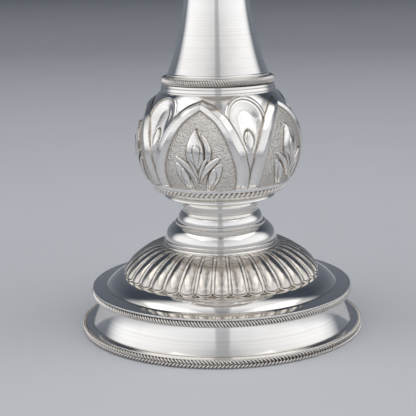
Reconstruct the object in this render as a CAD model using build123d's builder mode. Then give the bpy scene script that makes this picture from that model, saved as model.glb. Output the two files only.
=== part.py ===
"""Butter lamp: a stack of turned and raised silver shells on one tie rod.

Millimetres, +Z up, origin on the table under the centre of the foot.
The side that faces -Y is the front. Heights add up from the foot to the bowl,
so a change of one piece lifts everything above it.
"""
import os
from math import hypot, radians, tan

from build123d import *

os.makedirs("parts", exist_ok=True)

# Sheet and general fits
sheet = 1.0                  # wall of the turned and raised shells
fit_clearance = 0.05         # pieces that push or screw together
rod_clearance = 0.2          # tie rod passing through a hole
front = -90.0                # direction of the front, degrees about +Z

# Foot drum
rim_radius = 43.8            # edge of the foot flange that carries the ropes
rim_height = 2.6
rest_width = 2.55            # flat ring that stands on the table
ledge_width = 2.2            # flat step from the edge in to the drum wall
drum_height = 11.0           # table to the underside of the plate
drum_taper = 3.4             # how much the wall draws in towards its top
drum_hollow = 0.8            # depth of the wall's hollow curve
rim_rope_depth = 1.2
rim_rope_lift = 0.1          # lower rope stays off the table

# Base plate that closes the foot
base_plate_thickness = 1.0
base_plate_seat = 1.6        # height of the ledge that it is pushed up to

# Foot plate with its ring moulding
plate_overhang = 2.1         # rope seat outside the drum's top
plate_rope_height = 2.3
plate_rope_depth = 1.25
lip_overhang = 1.0
lip_height = 0.55
flat_width = 4.5             # nearly flat ring between lip and moulding
flat_rise = 0.35
moulding_width = 5.0
moulding_height = 3.1
moulding_bulge = 0.8
plate_seat_width = 3.3       # ring that the dome stands on
bridge_land = 1.5            # ring of the plate's underside that the bridge presses on

# Gadrooned dome
lobe_count = 36
dome_height = 9.2
dome_margin = 0.1            # dome edge inside the moulding's top edge
lobe_half_length = 6.7
lobe_half_height = 3.3
lobe_tip_height = 0.7        # lower tip of a lobe above the plate
core_step = 2.3              # core inside the lobe tips
core_bulge = 1.9
dome_wall = 1.2

# Collar, bell and waist of the neck
waist_radius = 12.0
neck_bore = 11.0
bell_radius = 17.7           # foot of the bell
collar_height = 1.6
collar_bead_depth = 0.5
collar_bead_height = 1.0
collar_groove = 0.2
bell_lip = 0.7
bell_lip_depth = 0.35
bell_skirt = 4.6             # height of the convex skirt
skirt_top_radius = 14.9
skirt_bulge = 0.75
step_radius = 14.3           # small fillet ring above the skirt
step_height = 0.9
swell_radius = 13.6          # torus band under the waist
swell_height = 3.4
swell_bulge = 0.45
waist_height = 0.6
bell_foot_width = 2.1

# Knop: cup under it, shell, band and ropes
cup_flare_height = 4.1
cup_flare_radius = 17.0
cup_flare_hollow = 0.5
cup_ring_depth = 0.6
cup_ring_height = 1.2
cup_shoulder = 1.1
cup_rope_seat = 19.0
cup_rope_height = 2.2
cup_rope_depth = 2.0
cup_flange_height = 0.9
knop_foot_radius = 22.2
knop_belly_radius = 25.4
knop_belly_height = 10.7
knop_height = 27.8
knop_top_radius = 18.0
band_height = 2.3
band_taper = 0.5
band_rope_height = 2.3
band_rope_depth = 1.6
band_rope_seat = 16.1
band_bore = 14.0

# Relief raised on the knop
petal_count = 5
petal_turn = -14.5           # front petal stands a little left of the front
relief_root = 0.5            # how deep the relief is set into the wall
petal_relief = 0.7
petal_half_width = 13.9
petal_spring = 8.4           # height where the side turns into the arch
petal_tip_margin = 1.2       # tip below the knop's top edge
petal_shoulder = 10.3        # half width of the arch at its shoulder
petal_shoulder_drop = 7.4    # shoulder below the tip
border_width = 3.3
border_tip = 2.7
arch_relief = 0.5
arch_radius = 6.4
arch_width = 0.8
arch_top_margin = 0.3
motif_relief = 0.55
bud_bottom = 8.9
bud_length = 10.0
bud_half_width = 3.4
leaf_bottom = 3.2
leaf_length = 8.2
leaf_spread = 5.6
leaf_root_offset = 1.3
leaf_half_width = 1.8
boss_drop = 9.6
boss_length = 7.0
boss_half_width = 1.5

# Stem
stem_ring_height = 1.0
stem_ring_radius = 15.8
stem_foot_radius = 15.5
stem_waist_radius = 9.3
stem_waist_height = 34.0
stem_height = 49.8
stem_top_radius = 12.6
crown_height = 2.4
crown_bead_depth = 1.0
crown_radius = 13.2

# Calyx under the bowl
calyx_height = 12.6
calyx_rope_height = 1.8
calyx_rope_depth = 1.6
calyx_lip_height = 1.0
calyx_hollow = 1.4
calyx_bore = 9.0
calyx_seat_width = 3.3

# Bowl
bowl_wall = 1.4
bowl_foot_radius = 22.0
bowl_radius = 46.0
bowl_curve_height = 29.0
bowl_rope_height = 1.8
bowl_rope_depth = 1.5
bowl_lip_height = 7.0
bowl_lip_flare = 2.4

# Tie rod and its fastenings
rod_radius = 2.5
rod_tail = 0.6               # rod standing out below the nut
nut_flats = 8.0
nut_height = 4.0
washer_radius = 6.0
washer_thickness = 1.0
bridge_thickness = 1.5

# Wick and its socket
socket_flange_radius = 7.0
socket_flange_height = 1.5
socket_radius = 4.5
socket_height = 15.0
socket_rod_depth = 5.5
wick_hole_depth = 7.5
stick_radius = 1.2
stick_clearance = 0.1
cotton_radius = 2.4
cotton_gap = 0.4             # cotton above the socket
cotton_length = 19.0
stick_into_cotton = 15.0
cotton_tip = 0.4             # radius of the flat left on the wick's tip

# Heights of the seams, from the table up
plate_height = plate_rope_height + lip_height + flat_rise + moulding_height
bell_height = bell_lip + bell_skirt + step_height + swell_height + waist_height
cup_height = cup_flare_height + cup_ring_height + cup_shoulder + cup_rope_height + cup_flange_height
bowl_height = bowl_curve_height + bowl_rope_height + bowl_lip_height
z_plate = drum_height
z_dome = z_plate + plate_height
z_collar = z_dome + dome_height
z_bell = z_collar + collar_height
z_cup = z_bell + bell_height
z_knop = z_cup + cup_height
z_band = z_knop + knop_height
z_ring = z_band + band_height + band_rope_height
z_stem = z_ring + stem_ring_height
z_crown = z_stem + stem_height
z_calyx = z_crown + crown_height
z_bowl = z_calyx + calyx_height
z_floor = z_bowl + bowl_wall
z_bridge = z_plate - bridge_thickness

# Radii that pieces share
drum_foot_radius = rim_radius - ledge_width
drum_top_radius = drum_foot_radius - drum_taper
base_recess_radius = rim_radius - rest_width
plate_edge_radius = drum_top_radius + plate_overhang
lip_radius = plate_edge_radius + lip_overhang
moulding_radius = lip_radius - flat_width
plate_top_radius = moulding_radius - moulding_width
plate_bore = drum_top_radius - sheet - bridge_land
dome_radius = plate_top_radius - dome_margin
dome_top_radius = bell_radius + collar_bead_depth


def wire_ring(seat_radius, bottom, height, depth):
    """Wire that lies round a cylinder, flat on its seat and half round outside, as the trim's ropes."""
    round_centre = seat_radius + depth - height / 2
    with BuildPart() as ring:
        with BuildSketch(Plane.XZ):
            with BuildLine():
                Polyline(
                    (round_centre, bottom),
                    (seat_radius, bottom),
                    (seat_radius, bottom + height),
                    (round_centre, bottom + height),
                )
                ThreePointArc(
                    (round_centre, bottom + height),
                    (seat_radius + depth, bottom + height / 2),
                    (round_centre, bottom),
                )
            make_face()
        revolve(axis=Axis.Z)
    return ring


def bowed(start, end, sag):
    """Arc from start to end that passes sag to the left of the middle of the chord."""
    run, rise = end[0] - start[0], end[1] - start[1]
    length = hypot(run, rise)
    middle = ((start[0] + end[0]) / 2 - sag * rise / length, (start[1] + end[1]) / 2 + sag * run / length)
    return ThreePointArc(start, middle, end)


# Base plate: a plain disc pushed up into the foot
with BuildPart() as base_plate:
    with BuildSketch(Plane.XY.offset(base_plate_seat - base_plate_thickness)):
        Circle(base_recess_radius - fit_clearance)
    extrude(amount=base_plate_thickness)
base_plate.part.label = "base_plate"
export_step(base_plate.part, "parts/base_plate.step")

# Foot drum: flange with a flat rest, step, and a hollow wall that draws in
with BuildPart() as foot_drum:
    with BuildSketch(Plane.XZ):
        with BuildLine():
            Polyline(
                (base_recess_radius, base_plate_seat),
                (base_recess_radius, 0),
                (rim_radius, 0),
                (rim_radius, rim_height),
                (drum_foot_radius, rim_height),
            )
            bowed((drum_foot_radius, rim_height), (drum_top_radius, drum_height), drum_hollow)
            Line((drum_top_radius, drum_height), (drum_top_radius - sheet, drum_height))
            bowed((drum_top_radius - sheet, drum_height), (drum_foot_radius - sheet, rim_height), -drum_hollow)
            Polyline(
                (drum_foot_radius - sheet, rim_height),
                (drum_foot_radius - sheet, base_plate_seat),
                (base_recess_radius, base_plate_seat),
            )
        make_face()
    revolve(axis=Axis.Z)
foot_drum.part.label = "foot_drum"
export_step(foot_drum.part, "parts/foot_drum.step")

# Foot plate: rope seat, lip, nearly flat ring and the convex ring moulding
flat_top = z_plate + plate_rope_height + lip_height + flat_rise
with BuildPart() as foot_plate:
    with BuildSketch(Plane.XZ):
        with BuildLine():
            Polyline(
                (plate_bore, z_plate),
                (plate_edge_radius, z_plate),
                (plate_edge_radius, z_plate + plate_rope_height),
                (lip_radius, z_plate + plate_rope_height),
                (lip_radius, z_plate + plate_rope_height + lip_height),
                (moulding_radius, flat_top),
            )
            bowed((moulding_radius, flat_top), (plate_top_radius, z_dome), -moulding_bulge)
            Polyline(
                (plate_top_radius, z_dome),
                (plate_top_radius - plate_seat_width, z_dome),
                (plate_top_radius - plate_seat_width, z_dome - sheet),
                (plate_top_radius - sheet, z_dome - sheet),
                (plate_bore, flat_top - sheet),
                (plate_bore, z_plate),
            )
        make_face()
    revolve(axis=Axis.Z)
foot_plate.part.label = "foot_plate"
export_step(foot_plate.part, "parts/foot_plate.step")

# One lobe of the dome: a long egg laid along the slope, kept to its own share of the circle
lobe_share = 360 / lobe_count
lobe_tip = Vector(dome_radius - dome_margin - lobe_tip_height, 0, z_dome + lobe_tip_height)
lobe_top = Vector(dome_top_radius, 0, z_collar - collar_bead_height)
lobe_run = (lobe_top - lobe_tip).normalized()
lobe_plane = Plane(origin=lobe_tip + lobe_run * lobe_half_length, x_dir=lobe_run, z_dir=(0, 1, 0))
with BuildPart() as dome_lobe:
    with BuildSketch(lobe_plane):
        with BuildLine():
            EllipticalCenterArc((0, 0), lobe_half_length, lobe_half_height, start_angle=0, arc_size=180)
            Line((-lobe_half_length, 0), (lobe_half_length, 0))
        make_face()
    revolve(axis=Axis(lobe_plane.origin, lobe_run))
    with BuildSketch(Plane.XY.offset(z_dome)):
        with BuildLine():
            Polyline(
                (dome_top_radius / 2, -dome_top_radius / 2 * tan(radians(lobe_share / 2))),
                (plate_top_radius, -plate_top_radius * tan(radians(lobe_share / 2))),
                (plate_top_radius, plate_top_radius * tan(radians(lobe_share / 2))),
                (dome_top_radius / 2, dome_top_radius / 2 * tan(radians(lobe_share / 2))),
                close=True,
            )
        make_face()
    extrude(amount=dome_height, mode=Mode.INTERSECT)

# Gadrooned dome: a plain raised core with the ring of lobes on it
core_radius = dome_radius - core_step
with BuildPart() as gadroon_dome:
    with BuildSketch(Plane.XZ):
        with BuildLine():
            Line((core_radius - dome_wall, z_dome), (core_radius, z_dome))
            bowed((core_radius, z_dome), (dome_top_radius, z_collar), -core_bulge)
            Polyline(
                (dome_top_radius, z_collar),
                (dome_top_radius - bell_foot_width - dome_wall, z_collar),
                (dome_top_radius - bell_foot_width - dome_wall, z_collar - dome_wall),
            )
            bowed(
                (dome_top_radius - bell_foot_width - dome_wall, z_collar - dome_wall),
                (core_radius - dome_wall, z_dome),
                core_bulge,
            )
        make_face()
    revolve(axis=Axis.Z)
    with PolarLocations(0, lobe_count, start_angle=front):
        add(dome_lobe.part)
gadroon_dome.part.label = "gadroon_dome"
export_step(gadroon_dome.part, "parts/gadroon_dome.step")

# Collar: bead and groove ring between dome and bell
collar_bore = bell_radius - bell_foot_width - sheet
with BuildPart() as dome_collar:
    with BuildSketch(Plane.XZ):
        with BuildLine():
            Line((collar_bore, z_collar), (bell_radius, z_collar))
            ThreePointArc(
                (bell_radius, z_collar),
                (bell_radius + collar_bead_depth, z_collar + collar_bead_height / 2),
                (bell_radius, z_collar + collar_bead_height),
            )
            Polyline(
                (bell_radius, z_collar + collar_bead_height),
                (bell_radius - collar_groove, z_collar + collar_bead_height),
                (bell_radius - collar_groove, z_bell),
                (collar_bore, z_bell),
                (collar_bore, z_collar),
            )
        make_face()
    revolve(axis=Axis.Z)
dome_collar.part.label = "dome_collar"
export_step(dome_collar.part, "parts/dome_collar.step")

# Neck bell: lip, convex skirt, fillet ring, swelling band, and the waist on top
skirt_foot = z_bell + bell_lip
skirt_top = skirt_foot + bell_skirt
swell_foot = skirt_top + step_height
swell_top = swell_foot + swell_height
with BuildPart() as neck_bell:
    with BuildSketch(Plane.XZ):
        with BuildLine():
            Line((bell_radius - bell_foot_width, z_bell), (bell_radius, z_bell))
            ThreePointArc(
                (bell_radius, z_bell),
                (bell_radius + bell_lip_depth, z_bell + bell_lip / 2),
                (bell_radius, skirt_foot),
            )
            bowed((bell_radius, skirt_foot), (skirt_top_radius, skirt_top), -skirt_bulge)
            Polyline(
                (skirt_top_radius, skirt_top),
                (step_radius, skirt_top),
                (step_radius, swell_foot),
                (swell_radius, swell_foot),
            )
            bowed((swell_radius, swell_foot), (waist_radius, swell_top), -swell_bulge)
            Polyline(
                (waist_radius, swell_top),
                (waist_radius, z_cup),
                (neck_bore, z_cup),
                (neck_bore, swell_top),
                (swell_radius - sheet, swell_foot),
                (bell_radius - bell_foot_width, skirt_foot),
                (bell_radius - bell_foot_width, z_bell),
            )
        make_face()
    revolve(axis=Axis.Z)
neck_bell.part.label = "neck_bell"
export_step(neck_bell.part, "parts/neck_bell.step")

# Knop cup: flare from the waist, plain ring, rope seat and the flange under the knop
cup_ring_foot = z_cup + cup_flare_height
cup_ring_top = cup_ring_foot + cup_ring_height
cup_seat_foot = cup_ring_top + cup_shoulder
cup_seat_top = cup_seat_foot + cup_rope_height
with BuildPart() as knop_cup:
    with BuildSketch(Plane.XZ):
        with BuildLine():
            Line((neck_bore, z_cup), (waist_radius, z_cup))
            bowed((waist_radius, z_cup), (cup_flare_radius, cup_ring_foot), cup_flare_hollow)
            Polyline(
                (cup_flare_radius, cup_ring_foot),
                (cup_flare_radius + cup_ring_depth, cup_ring_foot),
                (cup_flare_radius + cup_ring_depth, cup_ring_top),
                (cup_flare_radius, cup_ring_top),
                (cup_rope_seat, cup_seat_foot),
                (cup_rope_seat, cup_seat_top),
                (knop_foot_radius, cup_seat_top),
                (knop_foot_radius, z_knop),
                (cup_rope_seat - sheet, z_knop),
                (cup_rope_seat - sheet, cup_seat_foot),
                (cup_flare_radius - sheet, cup_ring_top),
                (neck_bore, z_cup + sheet),
                (neck_bore, z_cup),
            )
        make_face()
    revolve(axis=Axis.Z)
knop_cup.part.label = "knop_cup"
export_step(knop_cup.part, "parts/knop_cup.step")


def knop_section(inset, outset):
    """Half section of the knop wall, from inset under its ground to outset above it."""
    belly = z_knop + knop_belly_height
    with BuildSketch(Plane.XZ) as section:
        with BuildLine():
            outer_low = TangentArc(
                (knop_belly_radius + outset, belly), (knop_foot_radius + outset, z_knop), tangent=(0, -1)
            )
            outer_high = TangentArc(
                (knop_belly_radius + outset, belly), (knop_top_radius + outset, z_band), tangent=(0, 1)
            )
            inner_low = TangentArc(
                (knop_belly_radius - inset, belly), (knop_foot_radius - inset, z_knop), tangent=(0, -1)
            )
            inner_high = TangentArc(
                (knop_belly_radius - inset, belly), (knop_top_radius - inset, z_band), tangent=(0, 1)
            )
            Line(outer_low @ 1, inner_low @ 1)
            Line(outer_high @ 1, inner_high @ 1)
        make_face()
    return section.sketch


def pointed_outline(half_width, shoulder, tip, drop):
    """Petal outline facing +X: straight sides, then two arcs that meet in a point."""
    spring = z_knop + petal_spring
    with BuildSketch(Plane.YZ) as outline:
        with BuildLine():
            Polyline((-half_width, spring), (-half_width, z_knop), (half_width, z_knop), (half_width, spring))
            ThreePointArc((half_width, spring), (shoulder, tip - drop), (0, tip))
            ThreePointArc((0, tip), (-shoulder, tip - drop), (-half_width, spring))
        make_face()
    return outline.sketch


def leaf_outline(root, tip, half_width):
    """Leaf outline facing +X: two arcs between a root and a tip."""
    with BuildSketch(Plane.YZ) as outline:
        with BuildLine():
            bowed(root, tip, half_width)
            bowed(tip, root, half_width)
        make_face()
    return outline.sketch


# Pointed petal: a raised border round a sunk field, with a bud and two leaves in it
reach = knop_belly_radius + petal_relief + sheet
petal_tip = z_band - petal_tip_margin
with BuildPart() as petal_border:
    extrude(pointed_outline(petal_half_width, petal_shoulder, petal_tip, petal_shoulder_drop), amount=reach)
    extrude(
        pointed_outline(
            petal_half_width - border_width,
            petal_shoulder - border_width,
            petal_tip - border_tip,
            petal_shoulder_drop,
        ),
        amount=reach,
        mode=Mode.SUBTRACT,
    )
    revolve(knop_section(relief_root, petal_relief), axis=Axis.Z, mode=Mode.INTERSECT)

bud_root = (0, z_knop + bud_bottom)
bud_tip = (0, z_knop + bud_bottom + bud_length)
with BuildPart() as petal_motif:
    extrude(leaf_outline(bud_root, bud_tip, bud_half_width), amount=reach)
    for side in (-1, 1):
        leaf_root = (side * leaf_root_offset, z_knop + leaf_bottom)
        leaf_tip = (side * (leaf_root_offset + leaf_spread), z_knop + leaf_bottom + leaf_length)
        extrude(leaf_outline(leaf_root, leaf_tip, leaf_half_width), amount=reach)
    revolve(knop_section(relief_root, motif_relief), axis=Axis.Z, mode=Mode.INTERSECT)

# Rounded petal behind: a raised arch and a small drop shaped boss
arch_top = z_band - arch_top_margin
arch_centre = arch_top - arch_radius
arch_inside = arch_radius - arch_width
with BuildPart() as petal_arch:
    with BuildSketch(Plane.YZ):
        with BuildLine():
            CenterArc((0, arch_centre), arch_radius, 0, 180)
            Line((-arch_radius, arch_centre), (-arch_inside, arch_centre))
            CenterArc((0, arch_centre), arch_inside, 0, 180)
            Line((arch_inside, arch_centre), (arch_radius, arch_centre))
        make_face()
    extrude(amount=reach)
    extrude(
        leaf_outline((0, arch_top - boss_drop - boss_length), (0, arch_top - boss_drop), boss_half_width),
        amount=reach,
    )
    revolve(knop_section(relief_root, arch_relief), axis=Axis.Z, mode=Mode.INTERSECT)

# Knop shell: the raised bulb with its two rings of petals
petal_share = 360 / petal_count
with BuildPart() as knop_shell:
    revolve(knop_section(sheet, 0), axis=Axis.Z)
    with PolarLocations(0, petal_count, start_angle=front + petal_turn):
        add(petal_border.part)
        add(petal_motif.part)
    with PolarLocations(0, petal_count, start_angle=front + petal_turn + petal_share / 2):
        add(petal_arch.part)
knop_shell.part.label = "knop_shell"
export_step(knop_shell.part, "parts/knop_shell.step")

# Band on top of the knop: plain taper, then the seat of the upper rope
band_rope_foot = z_band + band_height
with BuildPart() as knop_band:
    with BuildSketch(Plane.XZ):
        with BuildLine():
            Polyline(
                (band_bore, z_band),
                (knop_top_radius, z_band),
                (knop_top_radius - band_taper, band_rope_foot),
                (band_rope_seat, band_rope_foot),
                (band_rope_seat, z_ring),
                (band_bore, z_ring),
                close=True,
            )
        make_face()
    revolve(axis=Axis.Z)
knop_band.part.label = "knop_band"
export_step(knop_band.part, "parts/knop_band.step")

# Stem ring: small rounded ring that the stem stands on
with BuildPart() as stem_ring:
    with BuildSketch(Plane.XZ):
        with BuildLine():
            Line((band_bore, z_ring), (stem_foot_radius, z_ring))
            ThreePointArc(
                (stem_foot_radius, z_ring),
                (stem_ring_radius, z_ring + stem_ring_height / 2),
                (stem_foot_radius, z_stem),
            )
            Polyline((stem_foot_radius, z_stem), (band_bore, z_stem), (band_bore, z_ring))
        make_face()
    revolve(axis=Axis.Z)
stem_ring.part.label = "stem_ring"
export_step(stem_ring.part, "parts/stem_ring.step")

# Stem: trumpet that narrows to a waist and opens again under the bowl
stem_waist = z_stem + stem_waist_height
with BuildPart() as stem:
    with BuildSketch(Plane.XZ):
        with BuildLine():
            stem_low = TangentArc(
                (stem_waist_radius, stem_waist), (stem_foot_radius, z_stem), tangent=(0, -1)
            )
            stem_high = TangentArc(
                (stem_waist_radius, stem_waist), (stem_top_radius, z_crown), tangent=(0, 1)
            )
            bore_low = TangentArc(
                (stem_waist_radius - sheet, stem_waist), (stem_foot_radius - sheet, z_stem), tangent=(0, -1)
            )
            bore_high = TangentArc(
                (stem_waist_radius - sheet, stem_waist), (stem_top_radius - sheet, z_crown), tangent=(0, 1)
            )
            Line(stem_low @ 1, bore_low @ 1)
            Line(stem_high @ 1, bore_high @ 1)
        make_face()
    revolve(axis=Axis.Z)
stem.part.label = "stem"
export_step(stem.part, "parts/stem.step")

# Crown: bead ring on top of the stem
with BuildPart() as stem_crown:
    with BuildSketch(Plane.XZ):
        with BuildLine():
            Line((calyx_bore, z_crown), (crown_radius, z_crown))
            ThreePointArc(
                (crown_radius, z_crown),
                (crown_radius + crown_bead_depth, z_crown + crown_height / 2),
                (crown_radius, z_calyx),
            )
            Polyline((crown_radius, z_calyx), (calyx_bore, z_calyx), (calyx_bore, z_crown))
        make_face()
    revolve(axis=Axis.Z)
stem_crown.part.label = "stem_crown"
export_step(stem_crown.part, "parts/stem_crown.step")

# Calyx: rope seat, hollow flare and the lip that the bowl stands on
calyx_flare_foot = z_calyx + calyx_rope_height
calyx_lip_foot = z_bowl - calyx_lip_height
with BuildPart() as calyx:
    with BuildSketch(Plane.XZ):
        with BuildLine():
            Polyline((calyx_bore, z_calyx), (stem_top_radius, z_calyx), (stem_top_radius, calyx_flare_foot))
            bowed((stem_top_radius, calyx_flare_foot), (bowl_foot_radius, calyx_lip_foot), calyx_hollow)
            Polyline(
                (bowl_foot_radius, calyx_lip_foot),
                (bowl_foot_radius, z_bowl),
                (bowl_foot_radius - calyx_seat_width, z_bowl),
                (bowl_foot_radius - calyx_seat_width, calyx_lip_foot),
            )
            bowed(
                (bowl_foot_radius - calyx_seat_width, calyx_lip_foot),
                (calyx_bore, calyx_flare_foot),
                -calyx_hollow,
            )
            Line((calyx_bore, calyx_flare_foot), (calyx_bore, z_calyx))
        make_face()
    revolve(axis=Axis.Z)
calyx.part.label = "calyx"
export_step(calyx.part, "parts/calyx.step")

# Bowl: flat floor with the rod's hole, round wall, rope seat and a lip that turns out
bowl_seat_foot = z_bowl + bowl_curve_height
bowl_seat_top = bowl_seat_foot + bowl_rope_height
z_rim = z_bowl + bowl_height
rod_hole_radius = rod_radius + rod_clearance
with BuildPart() as bowl:
    with BuildSketch(Plane.XZ):
        with BuildLine():
            wall = TangentArc((bowl_radius, bowl_seat_foot), (bowl_foot_radius, z_bowl), tangent=(0, -1))
            Line((bowl_radius, bowl_seat_foot), (bowl_radius, bowl_seat_top))
            lip = TangentArc(
                (bowl_radius, bowl_seat_top), (bowl_radius + bowl_lip_flare, z_rim), tangent=(0, 1)
            )
            inside = TangentArc(
                (bowl_radius - bowl_wall, bowl_seat_foot), (bowl_foot_radius, z_floor), tangent=(0, -1)
            )
            Line((bowl_radius - bowl_wall, bowl_seat_foot), (bowl_radius - bowl_wall, bowl_seat_top))
            inside_lip = TangentArc(
                (bowl_radius - bowl_wall, bowl_seat_top),
                (bowl_radius + bowl_lip_flare - bowl_wall, z_rim),
                tangent=(0, 1),
            )
            Line(lip @ 1, inside_lip @ 1)
            Polyline(wall @ 1, (rod_hole_radius, z_bowl), (rod_hole_radius, z_floor), inside @ 1)
        make_face()
    revolve(axis=Axis.Z)
bowl.part.label = "bowl"
export_step(bowl.part, "parts/bowl.step")

# Ropes of the trim, each a wire soldered to its seat
rim_rope_height = (rim_height - rim_rope_lift) / 2
ropes = {
    "foot_rim_rope_lower": (rim_radius, rim_rope_lift, rim_rope_height, rim_rope_depth),
    "foot_rim_rope_upper": (rim_radius, rim_rope_lift + rim_rope_height, rim_rope_height, rim_rope_depth),
    "plate_rope": (plate_edge_radius, z_plate, plate_rope_height, plate_rope_depth),
    "knop_cup_rope": (cup_rope_seat, cup_seat_foot, cup_rope_height, cup_rope_depth),
    "knop_band_rope": (band_rope_seat, band_rope_foot, band_rope_height, band_rope_depth),
    "calyx_rope": (stem_top_radius, z_calyx, calyx_rope_height, calyx_rope_depth),
    "bowl_rope": (bowl_radius, bowl_seat_foot, bowl_rope_height, bowl_rope_depth),
}
for rope_name, rope_sizes in ropes.items():
    rope = wire_ring(*rope_sizes)
    rope.part.label = rope_name
    export_step(rope.part, f"parts/{rope_name}.step")

# Bridge plate: disc inside the foot that the nut pulls against
with BuildPart() as bridge_plate:
    with BuildSketch(Plane.XY.offset(z_bridge)):
        Circle(plate_bore + bridge_land / 2)
        Circle(rod_hole_radius, mode=Mode.SUBTRACT)
    extrude(amount=bridge_thickness)
bridge_plate.part.label = "bridge_plate"
export_step(bridge_plate.part, "parts/bridge_plate.step")

# Washer under the bridge plate
z_washer = z_bridge - washer_thickness
with BuildPart() as tie_rod_washer:
    with BuildSketch(Plane.XY.offset(z_washer)):
        Circle(washer_radius)
        Circle(rod_hole_radius, mode=Mode.SUBTRACT)
    extrude(amount=washer_thickness)
tie_rod_washer.part.label = "tie_rod_washer"
export_step(tie_rod_washer.part, "parts/tie_rod_washer.step")

# Hexagon nut under the washer
z_nut = z_washer - nut_height
with BuildPart() as tie_rod_nut:
    with BuildSketch(Plane.XY.offset(z_nut)):
        RegularPolygon(nut_flats / 2, 6, major_radius=False)
        Circle(rod_radius + fit_clearance, mode=Mode.SUBTRACT)
    extrude(amount=nut_height)
tie_rod_nut.part.label = "tie_rod_nut"
export_step(tie_rod_nut.part, "parts/tie_rod_nut.step")

# Tie rod: from below the nut up into the wick socket
z_rod_top = z_floor + socket_rod_depth
with BuildPart() as tie_rod:
    with BuildSketch(Plane.XY.offset(z_nut - rod_tail)):
        Circle(rod_radius)
    extrude(amount=z_rod_top - z_nut + rod_tail)
tie_rod.part.label = "tie_rod"
export_step(tie_rod.part, "parts/tie_rod.step")

# Wick socket: flanged cap nut on the rod, with the hole for the wick in its top
z_socket_top = z_floor + socket_height
z_wick = z_socket_top - wick_hole_depth
with BuildPart() as wick_socket:
    with BuildSketch(Plane.XY.offset(z_floor)):
        Circle(socket_flange_radius)
    extrude(amount=socket_flange_height)
    with BuildSketch(Plane.XY.offset(z_floor)):
        Circle(socket_radius)
    extrude(amount=socket_height)
    fillet(wick_socket.faces().sort_by(Axis.Z)[-1].edges(), socket_radius - stick_radius - sheet)
    with BuildSketch(Plane.XY.offset(z_floor)):
        Circle(rod_radius + fit_clearance)
    extrude(amount=socket_rod_depth, mode=Mode.SUBTRACT)
    with BuildSketch(Plane.XY.offset(z_wick)):
        Circle(stick_radius + stick_clearance)
    extrude(amount=wick_hole_depth, mode=Mode.SUBTRACT)
wick_socket.part.label = "wick_socket"
export_step(wick_socket.part, "parts/wick_socket.step")

# Wick: a stick that stands in the socket, wrapped in cotton
z_cotton = z_socket_top + cotton_gap
with BuildPart() as wick_stick:
    with BuildSketch(Plane.XY.offset(z_wick)):
        Circle(stick_radius)
    extrude(amount=z_cotton + stick_into_cotton - z_wick)
wick_stick.part.label = "wick_stick"
export_step(wick_stick.part, "parts/wick_stick.step")

with BuildPart() as wick_cotton:
    with BuildSketch(Plane.XY.offset(z_cotton)):
        Circle(cotton_radius)
    extrude(amount=cotton_length)
    fillet(wick_cotton.faces().sort_by(Axis.Z)[-1].edges(), cotton_radius - cotton_tip)
    with BuildSketch(Plane.XY.offset(z_cotton)):
        Circle(stick_radius)
    extrude(amount=stick_into_cotton, mode=Mode.SUBTRACT)
wick_cotton.part.label = "wick_cotton"
export_step(wick_cotton.part, "parts/wick_cotton.step")
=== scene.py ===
# %% [markdown]
# # A butter lamp in polished silver
# The lamp is a stack of thin silver shells, turned or raised one by one and drawn
# together by a rod inside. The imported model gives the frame: where each shell sits and
# what moves. This lesson puts a finished skin over that frame, shell by shell, from the
# foot up, so that every mirror surface is smooth and every rope is really twisted.

# %% Load the frame
import math

import bmesh
import bpy
import numpy as np
from mathutils import Matrix, Vector


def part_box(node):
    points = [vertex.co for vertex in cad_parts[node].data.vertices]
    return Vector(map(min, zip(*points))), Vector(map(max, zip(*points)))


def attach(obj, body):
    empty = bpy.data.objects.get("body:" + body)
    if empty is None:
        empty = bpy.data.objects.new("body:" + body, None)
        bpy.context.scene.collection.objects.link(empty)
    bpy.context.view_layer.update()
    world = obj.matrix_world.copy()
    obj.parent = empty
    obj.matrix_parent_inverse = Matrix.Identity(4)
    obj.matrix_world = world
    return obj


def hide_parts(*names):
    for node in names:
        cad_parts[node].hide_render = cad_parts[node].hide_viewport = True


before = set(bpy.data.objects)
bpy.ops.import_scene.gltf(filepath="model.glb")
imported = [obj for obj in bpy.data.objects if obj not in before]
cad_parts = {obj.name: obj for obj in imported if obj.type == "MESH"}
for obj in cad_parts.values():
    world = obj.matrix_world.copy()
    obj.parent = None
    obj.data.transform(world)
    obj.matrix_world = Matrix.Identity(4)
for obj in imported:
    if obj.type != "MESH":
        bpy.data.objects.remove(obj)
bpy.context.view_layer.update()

# %% [markdown]
# ## Drawing a turned shell
# A silversmith turns or spins a shell against a profile. The same is done here: a pen
# draws the half section in the plane of X and Z, in millimetres, by extruding one vertex
# for a straight run and spinning it about a centre for an arc. That keeps each curve a
# true arc, which a mirror finish needs. A straight run gets a point near each end, where
# tarnish in an inner corner is to stop.

# %% Pen
MM = 0.001
CORNER_REACH = 0.35          # width of the tarnish in an inner corner
LONG_RUN = 0.3               # a run is long if the reach is a smaller share of it than this


def pen_down(bm, radius, height):
    """First vertex of a half section."""
    return bmesh.ops.create_vert(bm, co=(radius, 0, height))["vert"][0]


def line_to(bm, tip, radius, height):
    """Straight run by extruding the last vertex, with a point near each end if it is long."""
    start, end = tip.co.copy(), Vector((radius, 0, height))
    near = CORNER_REACH / max((end - start).length, 1e-6)
    for share in ((near, 1 - near, 1) if near < LONG_RUN else (1,)):
        tip = bmesh.ops.extrude_vert_indiv(bm, verts=[tip])["verts"][0]
        bmesh.ops.translate(bm, verts=[tip], vec=start.lerp(end, share) - tip.co)
    return tip


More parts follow.
